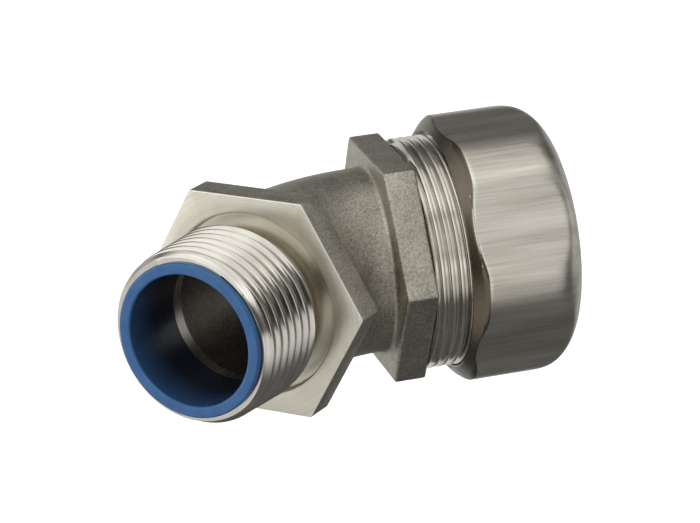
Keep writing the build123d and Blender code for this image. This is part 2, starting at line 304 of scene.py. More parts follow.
ferruleSteel = turnedFinish(
    "ferruleSteel",
    onSlant=True,
    alongAxis=True,
    darker=(0.44, 0.43, 0.40),
    paler=(0.74, 0.73, 0.70),
    roughness=0.3,
    lines=2200,
)
# the inside of the throat liner: a darker copy of the blue, painted shade that deepens down the
# tube
throatShade = mouldedFinish(
    "throatShade",
    onSlant=False,
    colour=(0.024, 0.060, 0.145),
    worn=(0.032, 0.075, 0.17),
    roughness=0.24,
    deep={"from": -16.5 * mm, "to": -10.0 * mm, "colour": (0.010, 0.016, 0.030)},
)
throatBlue = mouldedFinish(
    "throatBlue",
    onSlant=False,
    colour=(0.020, 0.095, 0.26),
    worn=(0.040, 0.135, 0.31),
    roughness=0.24,
)
ringNylon = mouldedFinish(
    "ringNylon",
    onSlant=True,
    colour=(0.70, 0.68, 0.60),
    worn=(0.80, 0.78, 0.71),
    roughness=0.42,
)
print("finishes made")


def ring(radius, height, angles):  # radius is one number, or one for each angle
    radii = radius if isinstance(radius, list) else [radius] * len(angles)
    return [(r * cos(a), r * sin(a), height) for r, a in zip(radii, angles)]


def evenAngles(count):
    return [2 * pi * i / count for i in range(count)]


def softCorners(outline, cut, steps=4):  # a closed outline with each corner rounded off
    rounded = []
    for i, point in enumerate(outline):
        here = Vector(point)
        before = Vector(outline[i - 1]) - here
        after = Vector(outline[(i + 1) % len(outline)]) - here
        first = here + before.normalized() * min(cut, 0.4 * before.length)
        last = here + after.normalized() * min(cut, 0.4 * after.length)
        for step in range(steps + 1):
            t = step / steps
            rounded.append((1 - t) ** 2 * first + 2 * t * (1 - t) * here + t * t * last)
    return [(p.x, p.y) for p in rounded]


def joinRings(mesh, rings, closed):
    rows = [[mesh.verts.new(point) for point in points] for points in rings]
    pairs = list(zip(rows, rows[1:] + rows[:1])) if closed else list(zip(rows, rows[1:]))
    for lower, upper in pairs:
        for i in range(len(lower)):
            mesh.faces.new((lower[i - 1], lower[i], upper[i], upper[i - 1]))


def makePiece(name, rings, place, finishes, body, thread=None, closed=True):
    mesh = bmesh.new()
    joinRings(mesh, rings, closed)
    if thread is not None:
        mesh.from_mesh(thread)
        bpy.data.meshes.remove(thread)
    for face in mesh.faces:
        face.material_index = 0
    bmesh.ops.remove_doubles(mesh, verts=mesh.verts, dist=weldGap)
    bmesh.ops.dissolve_degenerate(mesh, edges=mesh.edges, dist=weldGap)
    mesh.transform(place)
    bmesh.ops.recalc_face_normals(mesh, faces=mesh.faces)
    data = bpy.data.meshes.new(name)
    mesh.to_mesh(data)
    openEdges = sum(1 for edge in mesh.edges if not edge.is_manifold)
    mesh.free()
    for finish in finishes:
        data.materials.append(finish)
    data.shade_smooth()
    data.set_sharp_from_angle(angle=crispAngle)
    piece = bpy.data.objects.new(name, data)
    bpy.context.scene.collection.objects.link(piece)
    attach(piece, body)
    print(name, len(data.polygons), "faces,", openEdges, "open edges")
    return piece


def paintFaces(piece, index, chosen):  # gives another of the piece's finishes to the chosen faces
    for face in piece.data.polygons:
        if chosen(face.center, face.normal):
            face.material_index = index


def slanted(point):  # distance along the nut's axis, and out from it
    along = point.x * sin(slant) + (point.z - crossing) * cos(slant)
    out = Vector((point.x, point.y, point.z - crossing))
    out -= along * Vector((sin(slant), 0, cos(slant)))
    return along, out.length


def threadTree():  # one tree winds every ridge on the fitting
    tree = bpy.data.node_groups.new("windThread", "GeometryNodeTree")
    tree.interface.new_socket("Geometry", in_out="OUTPUT", socket_type="NodeSocketGeometry")
    whole = ("Segments", "Rows Per Turn")
    sizes = (
        *("Pitch", "Start", "End", "Crest Radius", "Taper", "Depth", "Crest Width", "Softness"),
        *("Offset", "Side", "Start Edge", "End Edge", "Start Radius", "Start Slope"),
        *("End Radius", "End Slope"),
    )
    for name in whole:
        tree.interface.new_socket(name, in_out="INPUT", socket_type="NodeSocketInt")
    for name in sizes:
        tree.interface.new_socket(name, in_out="INPUT", socket_type="NodeSocketFloat")
    tree.interface.new_socket("Finish", in_out="INPUT", socket_type="NodeSocketMaterial")
    given = tree.nodes.new("NodeGroupInput").outputs

    def do(operation, *values, clamp=False):
        return calc(tree, operation, *values, clamp=clamp)

    length = do("SUBTRACT", given["End"], given["Start"])
    firstTurn = do("SUBTRACT", given["Start"], given["Offset"])
    firstTurn = do("SUBTRACT", do("FLOOR", do("DIVIDE", firstTurn, given["Pitch"])), 2)
    turns = do("ADD", do("CEIL", do("DIVIDE", length, given["Pitch"])), 4)
    inputs = {
        "Size X": 1,
        "Size Y": 1,
        "Vertices X": do("ADD", given["Segments"], 1),
        "Vertices Y": do("MULTIPLY_ADD", turns, given["Rows Per Turn"], 1),
    }
    sheet = addNode(tree, "GeometryNodeMeshGrid", inputs).outputs["Mesh"]
    corner = addNode(tree, "GeometryNodeInputPosition").outputs[0]
    parts = addNode(tree, "ShaderNodeSeparateXYZ", {0: corner}).outputs
    around = do("ADD", parts["X"], 0.5)
    along = do("ADD", parts["Y"], 0.5)
    # rows follow the helix, so that crests stay crisp, and stop at the thread's two ends
    turn = do("ADD", do("MULTIPLY_ADD", along, turns, firstTurn), around)
    height = do("MULTIPLY_ADD", turn, given["Pitch"], given["Offset"])
    height = do("MINIMUM", do("MAXIMUM", height, given["Start"]), given["End"])
    phase = do("DIVIDE", do("SUBTRACT", height, given["Offset"]), given["Pitch"])
    phase = do("SUBTRACT", phase, around)
    away = do("MULTIPLY", do("ABSOLUTE", do("SUBTRACT", phase, do("ROUND", phase))), given["Pitch"])
    flank = do("MULTIPLY", given["Depth"], tan(radians(30)))
    fromCrest = do("SUBTRACT", away, do("MULTIPLY", given["Crest Width"], 0.5))
    rise = do("SUBTRACT", 1, do("DIVIDE", fromCrest, flank), clamp=True)
    eased = do("MULTIPLY", do("MULTIPLY", rise, rise), do("MULTIPLY_ADD", rise, -2, 3))
    rise = do("MULTIPLY_ADD", do("SUBTRACT", eased, rise), given["Softness"], rise)
    fromStart = do("SUBTRACT", height, given["Start"])
    toEnd = do("SUBTRACT", given["End"], height)
    crest = do("MULTIPLY_ADD", fromStart, given["Taper"], given["Crest Radius"])
    sunk = do("MULTIPLY", do("SUBTRACT", 1, rise), given["Depth"])
    ridge = do("SUBTRACT", do("MULTIPLY", crest, given["Side"]), sunk)
    startRadius = do("MULTIPLY", given["Start Radius"], given["Side"])
    startLimit = do("MULTIPLY_ADD", fromStart, given["Start Slope"], startRadius)
    endRadius = do("MULTIPLY", given["End Radius"], given["Side"])
    endLimit = do("MULTIPLY_ADD", toEnd, given["End Slope"], endRadius)
    radius = do("MINIMUM", do("MINIMUM", ridge, startLimit), endLimit)
    radius = do("MULTIPLY", radius, given["Side"])
    # the first and last rows close the thread's end faces
    isFirst = do("LESS_THAN", along, 0.0001)
    isLast = do("GREATER_THAN", along, 0.9999)
    radius = do("MULTIPLY_ADD", do("SUBTRACT", given["Start Edge"], radius), isFirst, radius)
    radius = do("MULTIPLY_ADD", do("SUBTRACT", given["End Edge"], radius), isLast, radius)
    angle = do("MULTIPLY", around, 2 * pi)
    inputs = {
        "X": do("MULTIPLY", radius, do("COSINE", angle)),
        "Y": do("MULTIPLY", radius, do("SINE", angle)),
        "Z": height,
    }
    point = addNode(tree, "ShaderNodeCombineXYZ", inputs).outputs[0]
    inputs = {"Geometry": sheet, "Position": point}
    wound = addNode(tree, "GeometryNodeSetPosition", inputs).outputs[0]
    inputs = {"Geometry": wound, "Distance": weldGap}
    welded = addNode(tree, "GeometryNodeMergeByDistance", inputs).outputs[0]
    real = addNode(tree, "GeometryNodeRealizeInstances", {"Geometry": welded}).outputs[0]
    inputs = {"Geometry": real, "Material": given["Finish"]}
    finished = addNode(tree, "GeometryNodeSetMaterial", inputs).outputs[0]
    tree.links.new(finished, tree.nodes.new("NodeGroupOutput").inputs[0])
    return tree


windThread = threadTree()
defaultWinding = {
    "Taper": 0.0,
    "Softness": 0.3,
    "Side": 1.0,
    "Start Slope": 1.0,
    "End Slope": 1.0,
}


def wind(name, sizes, finish):  # a plain mesh of one thread, upright round Z
    carrier = bpy.data.objects.new(name, bpy.data.meshes.new(name))
    bpy.context.scene.collection.objects.link(carrier)
    modifier = carrier.modifiers.new("wind", "NODES")
    modifier.node_group = windThread
    values = {**defaultWinding, **sizes, "Finish": finish}
    for item in windThread.interface.items_tree:
        if item.in_out == "INPUT":
            value = values[item.name]
            if item.socket_type == "NodeSocketFloat":
                value = float(value)
            modifier[item.identifier] = value
    evaluated = carrier.evaluated_get(bpy.context.evaluated_depsgraph_get())
    made = bpy.data.meshes.new_from_object(evaluated)
    bpy.data.objects.remove(carrier)
    return made


# the pipe thread, with the neck behind it and the seat of the throat
pipe = {
    "endHeight": -16.0 * mm,
    "threadEnd": -3.0 * mm,
    "pitch": 25.4 / 14 * mm,
    "crestRadius": 13.0 * mm,
    "depth": 1.3 * mm,
    "neckRadius": 12.2 * mm,
    "neckTop": 1.7 * mm,
    "boreRadius": 10.1 * mm,
    "seatRadius": 10.7 * mm,
    "seatTop": -5.0 * mm,
    "stepTop": -2.8 * mm,
    "edge": 0.1 * mm,
    "segments": 216,
}
pipeWinding = wind(
    "pipeWinding",
    {
        "Segments": pipe["segments"],
        "Rows Per Turn": 16,
        "Pitch": pipe["pitch"],
        "Start": pipe["endHeight"],
        "End": pipe["threadEnd"],
        "Crest Radius": pipe["crestRadius"],
        "Taper": 1 / 32,
        "Depth": pipe["depth"],
        "Crest Width": 0.15 * mm,
        "Softness": 0.2,
        "Offset": 1.42 * mm,
        "Start Edge": pipe["seatRadius"],
        "End Edge": pipe["neckRadius"],
        "Start Radius": 12.25 * mm,
        "End Radius": pipe["neckRadius"],
    },
    pipeSteel,
)
pipeAngles = evenAngles(pipe["segments"])
pipeBack = [
    (pipe["neckRadius"], pipe["threadEnd"]),
    (pipe["neckRadius"], pipe["threadEnd"] + 0.05 * mm),  # keeps the shading flat on the neck
    (pipe["neckRadius"], pipe["neckTop"]),
    (pipe["boreRadius"], pipe["neckTop"]),
    (pipe["boreRadius"], pipe["stepTop"]),
    (pipe["boreRadius"], pipe["seatTop"] + pipe["edge"]),
    (pipe["boreRadius"] + pipe["edge"], pipe["seatTop"]),
    (pipe["seatRadius"], pipe["seatTop"]),
    (pipe["seatRadius"], pipe["endHeight"]),
]
pipeThread = makePiece(
    "pipeThread",
    [ring(r, z, pipeAngles) for r, z in pipeBack],
    hubPlace,
    [pipeSteel, boreShadeSteel, nutThreadSteel],
    "fitting",
    thread=pipeWinding,
    closed=False,
)
boreReach = pipe["seatRadius"] + onSurface
# the bore's faces get the darker copy of the casting, painted shade
paintFaces(pipeThread, 1, lambda at, facing: at.xy.length < boreReach)
paintFaces(pipeThread, 2, lambda at, facing: at.xy.length < boreReach and at.z < pipe["stepTop"])
print("pipe thread wound")


# both hexagons are cast, with rounded corners and rims
hexSteps = 9  # points round each corner


def hexCorner(apothem, corner):  # centre of a corner's rounding, and half the angle it takes
    centre = (apothem - corner) * 2 / sqrt(3)
    return centre, atan(corner / 2 / (centre + corner * sqrt(3) / 2))


def hexAngles(sizes):
    reach = hexCorner(sizes["acrossFlats"] / 2, sizes["cornerRound"])[1]
    angles = []
    for side in range(6):
        middle = sizes["cornerAngle"] + side * pi / 3
        angles += [middle - reach + 2 * reach * i / hexSteps for i in range(hexSteps)]
        span, steps = pi / 3 - 2 * reach, sizes["flatSteps"]
        angles += [middle + reach + span * i / steps for i in range(steps)]
    return angles


def hexRadii(angles, sizes, inset=0.0):  # the hexagon's outline, drawn in by the inset
    apothem = sizes["acrossFlats"] / 2 - inset
    corner = max(sizes["cornerRound"] - inset, 0.05 * mm)
    centre, reach = hexCorner(apothem, corner)
    radii = []
    for angle in angles:
        turn = (angle - sizes["cornerAngle"] + pi / 6) % (pi / 3) - pi / 6
        if abs(turn) < reach:
            radii.append(centre * cos(turn) + sqrt(corner**2 - (centre * sin(turn)) ** 2))
        else:
            radii.append(apothem / cos(pi / 6 - abs(turn)))
    return radii


def roundedRim(angles, sizes, height, up, steps=6):  # rings over a rounded rim, from side to face
    bend = sizes["rimRound"]
    rings = []
    for i in range(steps + 1):
        turn = pi / 2 * i / steps
        radii = hexRadii(angles, sizes, bend * (1 - cos(turn)))
        rings.append(ring(radii, height + up * bend * (sin(turn) - 1), angles))
    return rings


hub = {
    "acrossFlats": 32.6 * mm,
    "thickness": 4.95 * mm,
    "cornerAngle": radians(1.7),
    "cornerRound": 0.6 * mm,
    "rimRound": 0.45 * mm,
    "edgeBreak": 0.15 * mm,
    "recessRadius": 13.8 * mm,
    "recessDepth": 1.4 * mm,
    "holeRadius": 11.0 * mm,
    "flatSteps": 26,
}
hubAngles = hexAngles(hub)
breakEdge = hub["edgeBreak"]
hubRings = [
    ring(hub["holeRadius"], hub["recessDepth"], hubAngles),
    ring(hub["recessRadius"] - breakEdge, hub["recessDepth"], hubAngles),
    ring(hub["recessRadius"], hub["recessDepth"] - breakEdge, hubAngles),
    ring(hub["recessRadius"], breakEdge, hubAngles),
    ring(hub["recessRadius"] + breakEdge, 0, hubAngles),
    ring(hexRadii(hubAngles, hub, breakEdge), 0, hubAngles),
    ring(hexRadii(hubAngles, hub, 0.3 * breakEdge), 0.3 * breakEdge, hubAngles),
    ring(hexRadii(hubAngles, hub), breakEdge, hubAngles),
    *roundedRim(hubAngles, hub, hub["thickness"], 1),
    ring(hub["holeRadius"], hub["thickness"], hubAngles),
]
hubFinishes = [castSteel, facedSteel, edgeHighlightSteel]
hubHexagon = makePiece("hubHexagon", hubRings, hubPlace, hubFinishes, "fitting")


def machined(at, facing):  # the bearing face and the recess in it
    inRecess = at.xy.length < hub["recessRadius"] + onSurface
    return at.z < hub["recessDepth"] + onSurface and (facing.z < -0.5 or inRecess)


def brokenEdge(at, facing):  # the slanting edges round the bearing face
    return at.z < breakEdge and -0.97 < facing.z < -0.2


paintFaces(hubHexagon, 1, machined)
# the slanting edges round the bearing face get a painted highlight
paintFaces(hubHexagon, 2, brokenEdge)

rear = {
    "acrossFlats": 33.05 * mm,
    "start": 9.77 * mm,
    "thickness": 4.9 * mm,
    "cornerAngle": radians(2.8),
    "cornerRound": 0.6 * mm,
    "rimRound": 0.45 * mm,
    "holeRadius": 11.0 * mm,
    "flatSteps": 26,
}
rearAngles = hexAngles(rear)
rearEnd = rear["start"] + rear["thickness"]
rearRings = [
    ring(rear["holeRadius"], rear["start"], rearAngles),
    *reversed(roundedRim(rearAngles, rear, rear["start"], -1)),
    *roundedRim(rearAngles, rear, rearEnd, 1),
    ring(rear["holeRadius"], rearEnd, rearAngles),
]
makePiece("rearHexagon", rearRings, slantPlace, [castSteel], "fitting")
print("hexagons made")


# the elbow is a cast bar round the bend, flared where it meets the hexagons
elbow = {
    "radius": 14.0 * mm,
    "boreRadius": 10.1 * mm,
    "bendRadius": 21.8 * mm,
    "start": 1.6 * mm,
    "end": 12.2 * mm,
    "flare": 0.7 * mm,
    "segments": 160,
    "flareSteps": 8,
    "bendSteps": 40,
}


def elbowStations():  # (turn round the bend, centre, nearness to a hexagon), from hub to gland
    reach = elbow["bendRadius"] * tan(slant / 2)
    foot, flare, hubTop = crossing - reach, elbow["flare"], hub["thickness"]
    flareSteps = elbow["flareSteps"]
    stations = [(0.0, Vector((0, 0, elbow["start"])), 1.0)]
    for i in range(flareSteps + 1):
        stations.append((0.0, Vector((0, 0, hubTop + flare * i / flareSteps)), 1 - i / flareSteps))
    for i in range(elbow["bendSteps"] + 1):
        turn = slant * i / elbow["bendSteps"]
        across = elbow["bendRadius"] * (1 - cos(turn))
        stations.append((turn, Vector((across, 0, foot + elbow["bendRadius"] * sin(turn))), 0.0))
    direction = Vector((sin(slant), 0, cos(slant)))
    middle = Vector((0, 0, crossing))
    for i in range(flareSteps + 1):
        along = rear["start"] - flare * (1 - i / flareSteps)
        stations.append((slant, middle + direction * along, i / flareSteps))
    stations.append((slant, middle + direction * elbow["end"], 1.0))
    return stations


def section(turn, centre, radius):
    side = Vector((cos(turn), 0, -sin(turn)))
    angles = evenAngles(elbow["segments"])
    return [tuple(centre + radius * (cos(a) * side + Vector((0, sin(a), 0)))) for a in angles]


outside, inside = [], []
for turn, centre, near in elbowStations():
    flared = elbow["flare"] * (1 - sqrt(1 - near**2))
    outside.append(section(turn, centre, elbow["radius"] + flared))
    inside.append(section(turn, centre, elbow["boreRadius"]))
elbowCasting = makePiece(
    "elbowCasting",
    outside + inside[::-1],
    hubPlace,
    [castSteel, boreShadeSteel],
    "fitting",
)
elbowHalf = len(outside) * elbow["segments"]
# the bore's faces get the darker copy of the casting, painted shade
for face in elbowCasting.data.polygons:
    if all(index >= elbowHalf for index in face.vertices):
        face.material_index = 1
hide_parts("body")
print("elbow made")


# the gland thread, with the socket for the ferrule inside it
gland = {
    "start": rearEnd,
    "end": 26.02 * mm,
    "pitch": 25.4 / 18 * mm,
    "crestRadius": 17.6 * mm,
    "depth": 0.8 * mm,
    "lead": 0.7 * mm,
    "mouthRadius": 15.605 * mm,
    "socketRadius": 15.2 * mm,
    "bevelDepth": 1.667 * mm,
    "socketFloor": 18.02 * mm,
    "boreRadius": 10.1 * mm,
    "rootStart": 12.2 * mm,
    "offset": 0.35 * mm,
    "edge": 0.1 * mm,
    "segments": 240,
}
glandWinding = wind(
    "glandWinding",
    {
        "Segments": gland["segments"],
        "Rows Per Turn": 16,
        "Pitch": gland["pitch"],
        "Start": gland["start"],
        "End": gland["end"],
        "Crest Radius": gland["crestRadius"],
        "Depth": gland["depth"],
        "Crest Width": 0.3 * mm,
        "Softness": 0.75,
        "Offset": gland["offset"],
        "Start Edge": gland["socketRadius"],
        "End Edge": gland["mouthRadius"],
        "Start Radius": gland["crestRadius"],
        "End Radius": gland["crestRadius"] - gland["lead"],
    },
    glandSteel,
)
glandAngles = evenAngles(gland["segments"])
glandInside = [
    (gland["mouthRadius"], gland["end"]),
    (gland["socketRadius"], gland["end"] - gland["bevelDepth"]),
    (gland["socketRadius"], gland["socketFloor"] + gland["edge"]),
    (gland["socketRadius"] - gland["edge"], gland["socketFloor"]),
    (gland["boreRadius"], gland["socketFloor"]),
    (gland["boreRadius"], gland["rootStart"]),
    (gland["socketRadius"], gland["rootStart"]),
    (gland["socketRadius"], gland["start"]),
]
glandThread = makePiece(
    "glandThread",
    [ring(r, z, glandAngles) for r, z in glandInside],
    slantPlace,
    [glandSteel, boreShadeSteel],
    "fitting",
    thread=glandWinding,
    closed=False,
)
# the bore's faces get the darker copy of the casting, painted shade
paintFaces(glandThread, 1, lambda at, facing: slanted(at)[1] < gland["boreRadius"] + onSurface)
print("gland thread wound")


# the throat liner is a blue plastic tube with a rounded lip over the pipe's end
throat = {
    "boreRadius": 9.8 * mm,
    "tubeRadius": 10.65 * mm,
    "lipRadius": 11.55 * mm,
    "lipEnd": -17.0 * mm,
    "pipeEnd": -16.0 * mm,
    "innerEnd": -5.0 * mm,
    "chamfer": 0.4 * mm,
    "lipRound": 0.42 * mm,
    "segments": 192,
}
throatOutline = [
    (throat["boreRadius"], throat["lipEnd"]),
    (throat["lipRadius"], throat["lipEnd"]),
    (throat["lipRadius"], throat["pipeEnd"]),
    (throat["tubeRadius"], throat["pipeEnd"]),
    (throat["tubeRadius"], throat["innerEnd"] - throat["chamfer"]),
    (throat["tubeRadius"] - throat["chamfer"], throat["innerEnd"]),
    (throat["boreRadius"], throat["innerEnd"]),
]
throatOutline = softCorners(throatOutline, throat["lipRound"], steps=6)
throatLiner = makePiece(
    "throatLiner",
    [ring(r, z, evenAngles(throat["segments"])) for r, z in throatOutline],
    hubPlace,
    [throatBlue, throatShade],
    "fitting",
)
tubeReach = throat["boreRadius"] + onSurface
lipTop = throat["lipEnd"] + throat["lipRound"]
# the inner wall of the liner gets the painted shade
paintFaces(throatLiner, 1, lambda at, facing: at.xy.length < tubeReach and at.z > lipTop)
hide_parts("insulated_throat")


# the compression nut is a rounded hexagon inside a turned envelope
nut = {
    "acrossFlats": 38.4 * mm,
    "cornerRound": 11.0 * mm,
    "cornerAngle": radians(6.3),
    "back": 20.02 * mm,
    "front": 37.52 * mm,
    "backRadius": 18.25 * mm,
    "backBevel": 2.0 * mm,
    "crispLength": 1.2 * mm,  # how much of the bevel meets the flats in a crisp edge
    "crispEdge": 0.15 * mm,
    "outerRadius": 20.6 * mm,
    "domeLength": 5.7 * mm,
    "domeEndRadius": 16.2 * mm,
    "frontEdge": 0.35 * mm,
    "openingRadius": 13.7 * mm,
    "openingChamfer": 0.6 * mm,
    "seat": 33.12 * mm,
    "pocketRadius": 16.4 * mm,
    "reliefEnd": 29.62 * mm,
    "threadEnd": 28.02 * mm,
    "threadRadius": 17.75 * mm,
    "threadCrest": 17.025 * mm,
    "mouthRadius": 18.05 * mm,
    "mouthEdge": 0.05 * mm,
    "polish": 0.7 * mm,
    "bevelSteps": 24,
    "sideSteps": 15,
    "domeSteps": 30,
    "segments": 240,
}


def eased(first, second, blend):  # the smaller of two radii, with their meeting edge polished
    near = max(blend - abs(first - second), 0.0) / blend
    return min(first, second) - near * near * blend / 4


def nutStations():  # (height, turned radius) from the back of the nut to its front
    drop = nut["outerRadius"] - nut["domeEndRadius"]
    domeRadius = (drop**2 + nut["domeLength"] ** 2) / (2 * drop)
    lastTurn = atan(nut["domeLength"] / (domeRadius - drop))
    stations = []
    for i in range(nut["bevelSteps"] + 1):
        share = i / nut["bevelSteps"]
        radius = nut["backRadius"] + share * (nut["outerRadius"] - nut["backRadius"])
        stations.append((nut["back"] + share * nut["backBevel"], radius))
    domeStart = nut["front"] - nut["domeLength"]
    bevelEnd = nut["back"] + nut["backBevel"]
    for i in range(1, nut["sideSteps"] + 1):
        height = bevelEnd + (domeStart - bevelEnd) * i / nut["sideSteps"]
        stations.append((height, nut["outerRadius"]))
    for i in range(1, nut["domeSteps"] + 1):
        turn = lastTurn * i / nut["domeSteps"]
        radius = nut["outerRadius"] - domeRadius * (1 - cos(turn))
        stations.append((domeStart + domeRadius * sin(turn), radius))
    return stations


nutAngles = evenAngles(nut["segments"])
nutHex = hexRadii(nutAngles, nut)
nutOutside = []
for height, turned in nutStations():
    blend = nut["polish"] if height > nut["back"] + nut["crispLength"] else nut["crispEdge"]
    nutOutside.append(ring([eased(flat, turned, blend) for flat in nutHex], height, nutAngles))
nutInside = [
    (nut["domeEndRadius"] - nut["frontEdge"], nut["front"]),
    (nut["openingRadius"] + nut["openingChamfer"], nut["front"]),
    (nut["openingRadius"], nut["front"] - nut["openingChamfer"]),
    (nut["openingRadius"], nut["seat"]),
    (nut["pocketRadius"], nut["seat"]),
    (nut["pocketRadius"], nut["reliefEnd"]),
    (nut["threadRadius"], nut["reliefEnd"]),
    (nut["threadRadius"], nut["threadEnd"]),
]
nutWinding = wind(
    "nutWinding",
    {
        "Segments": nut["segments"],
        "Rows Per Turn": 12,
        "Pitch": gland["pitch"],
        "Start": nut["back"],
        "End": nut["threadEnd"],
        "Crest Radius": nut["threadCrest"],
        "Depth": nut["threadRadius"] - nut["threadCrest"],
        "Crest Width": 0.207 * mm,
        "Offset": gland["offset"] + gland["pitch"] / 2,
        "Side": -1.0,
        "Start Edge": nut["mouthRadius"] + nut["mouthEdge"],
        "End Edge": nut["threadRadius"],
        "Start Radius": nut["mouthRadius"],
        "End Radius": nut["threadRadius"],
    },
    nutThreadSteel,
)
nutRings = [
    ring(nut["mouthRadius"] + nut["mouthEdge"], nut["back"], nutAngles),
    *nutOutside,
    *[ring(r, z, nutAngles) for r, z in nutInside],
]
compressionNut = makePiece(
    "compressionNut",
    nutRings,
    slantPlace,
    [nutSteel, nutThreadSteel],
    "nut",
    thread=nutWinding,
    closed=False,
)


def insideNut(at, facing):
    along, out = slanted(at)
    return along < nut["seat"] - 0.01 * mm and out < nut["mouthRadius"] + 0.02 * mm


paintFaces(compressionNut, 1, insideNut)
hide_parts("gland_nut")
print("nut made")


# the washer and the sealing ring, which the nut drives
washer = {
    "back": 32.02 * mm,
    "thickness": 1.0 * mm,
    "radius": 16.1 * mm,
    "boreRadius": 13.9 * mm,
    "edge": 0.15 * mm,
    "segments": 160,
}
washerFront = washer["back"] + washer["thickness"]
washerOutline = [
    (washer["boreRadius"], washer["back"]),
    (washer["radius"], washer["back"]),
    (washer["radius"], washerFront),
    (washer["boreRadius"], washerFront),
]
washerOutline = softCorners(washerOutline, washer["edge"])
slidingWasher = makePiece(
    "slidingWasher",
    [ring(r, z, evenAngles(washer["segments"])) for r, z in washerOutline],
    slantPlace,
    [washerSteel],
    "pressure_set",
)
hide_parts("slip_washer")

nylon = {
    "nose": 26.32 * mm,
    "back": 32.02 * mm,
    "noseLength": 3.7 * mm,
    "radius": 15.6 * mm,
    "noseRadius": 14.7 * mm,
    "boreRadius": 13.5 * mm,
    "edge": 0.25 * mm,
    "segments": 160,
}
nylonOutline = [
    (nylon["boreRadius"], nylon["nose"]),
    (nylon["noseRadius"], nylon["nose"]),
    (nylon["radius"], nylon["nose"] + nylon["noseLength"]),
    (nylon["radius"], nylon["back"]),
    (nylon["boreRadius"], nylon["back"]),
]
nylonOutline = softCorners(nylonOutline, nylon["edge"], steps=5)
nylonRing = makePiece(
    "nylonRing",
    [ring(r, z, evenAngles(nylon["segments"])) for r, z in nylonOutline],
    slantPlace,
    [ringNylon],
    "pressure_set",
)
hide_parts("sealing_ring")
print("washer and ring made")


# the ferrule is a sleeve with a coarse ridge, and a cup for the conduit's cut end
sleeve = {
    "back": 18.12 * mm,
    "end": 32.62 * mm,
    "base": 1.2 * mm,
    "cupEnd": 22.02 * mm,
    "cupRadius": 14.95 * mm,
    "cupWall": 1.2 * mm,
    "boreRadius": 9.0 * mm,
    "radius": 9.8 * mm,
    "ridgeHeight": 0.55 * mm,
    "ridgeEnd": 31.42 * mm,
    "tip": 0.4 * mm,
    "edge": 0.1 * mm,
    "segments": 160,
}
cupInside = sleeve["cupRadius"] - sleeve["cupWall"]
sleeveWinding = wind(
    "sleeveWinding",
    {
        "Segments": sleeve["segments"],
        "Rows Per Turn": 20,
        "Pitch": 3.2 * mm,
        "Start": sleeve["back"] + sleeve["base"],
        "End": sleeve["ridgeEnd"],
        "Crest Radius": sleeve["radius"] + sleeve["ridgeHeight"],
        "Depth": sleeve["ridgeHeight"],
        "Crest Width": 0.35 * mm,
        "Softness": 0.5,
        "Offset": 0.0,
        "Start Edge": cupInside,
        "End Edge": sleeve["radius"],
        "Start Radius": cupInside,
        "End Radius": sleeve["radius"],
        "End Slope": 0.35,
    },
    ferruleSteel,
)
sleeveInside = [
    (sleeve["radius"], sleeve["ridgeEnd"]),
    (sleeve["radius"], sleeve["end"] - sleeve["tip"]),
    (sleeve["radius"] - sleeve["tip"], sleeve["end"]),
    (sleeve["boreRadius"], sleeve["end"]),
    (sleeve["boreRadius"], sleeve["back"]),
    (sleeve["cupRadius"] - sleeve["edge"], sleeve["back"]),
    (sleeve["cupRadius"], sleeve["back"] + sleeve["edge"]),
    (sleeve["cupRadius"], sleeve["cupEnd"] - sleeve["edge"]),
    (sleeve["cupRadius"] - sleeve["edge"], sleeve["cupEnd"]),
    (cupInside + sleeve["edge"], sleeve["cupEnd"]),
    (cupInside, sleeve["cupEnd"] - sleeve["edge"]),
    (cupInside, sleeve["back"] + sleeve["base"]),
]
conduitSleeve = makePiece(
    "conduitSleeve",
    [ring(r, z, evenAngles(sleeve["segments"])) for r, z in sleeveInside],
    slantPlace,
    [ferruleSteel],
    "conduit_ferrule",
    thread=sleeveWinding,
    closed=False,
)
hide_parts("ferrule")
print("ferrule made")


eye = {  # the camera's own directions, place in metres, and lens in millimetres
    "right": (0.86973585, 0.06740586, 0.48889262),
    "down": (0.09520386, 0.94910565, -0.30022439),
    "ahead": (-0.48424763, 0.30766038, 0.81905392),
    "place": (0.224451, -0.139818, -0.350277),
    "lens": 155.36,
}
cameraData = bpy.data.cameras.new("camera")
cameraData.lens = eye["lens"]
cameraData.sensor_width = 36
cameraData.clip_start, cameraData.clip_end = 0.01, 20
camera = bpy.data.objects.new("camera", cameraData)
right, down, ahead = Vector(eye["right"]), Vector(eye["down"]), Vector(eye["ahead"])
turnedEye = Matrix((right, -down, -ahead)).transposed().to_4x4()
camera.matrix_world = Matrix.Translation(eye["place"]) @ turnedEye
bpy.context.scene.collection.objects.link(camera)
bpy.context.scene.camera = camera


# a pale floor, one soft box and a soft surround
studio = {
    "pitch": radians(18),  # how far the camera looks down on the floor
    "drop": 54 * mm,  # from the fitting's middle to the floor
    "floorSize": 3.0,
    "floorColour": (0.9, 0.9, 0.9),
    "floorGlow": 0.62,
    "ambient": 0.13,
}
middle = (cadLow + cadHigh) / 2
up = (-down * cos(studio["pitch"]) - ahead * sin(studio["pitch"])).normalized()


def facing(direction, roll):  # a rotation whose Z looks along the direction
    z = direction.normalized()
    y = z.cross(roll).normalized()
    return Matrix((y.cross(z), y, z)).transposed().to_4x4()


def studioWay(side, lift, depth):  # to the right, up, and away from the camera
    return (right * side - down * lift + ahead * depth).normalized()


def flatSheet(name, width, height, place):
    data = bpy.data.meshes.new(name)
    x, y = width / 2, height / 2
    data.from_pydata([(-x, -y, 0), (x, -y, 0), (x, y, 0), (-x, y, 0)], [], [(0, 1, 2, 3)])
    sheet = bpy.data.objects.new(name, data)
    sheet.matrix_world = place
    bpy.context.scene.collection.objects.link(sheet)
    return sheet


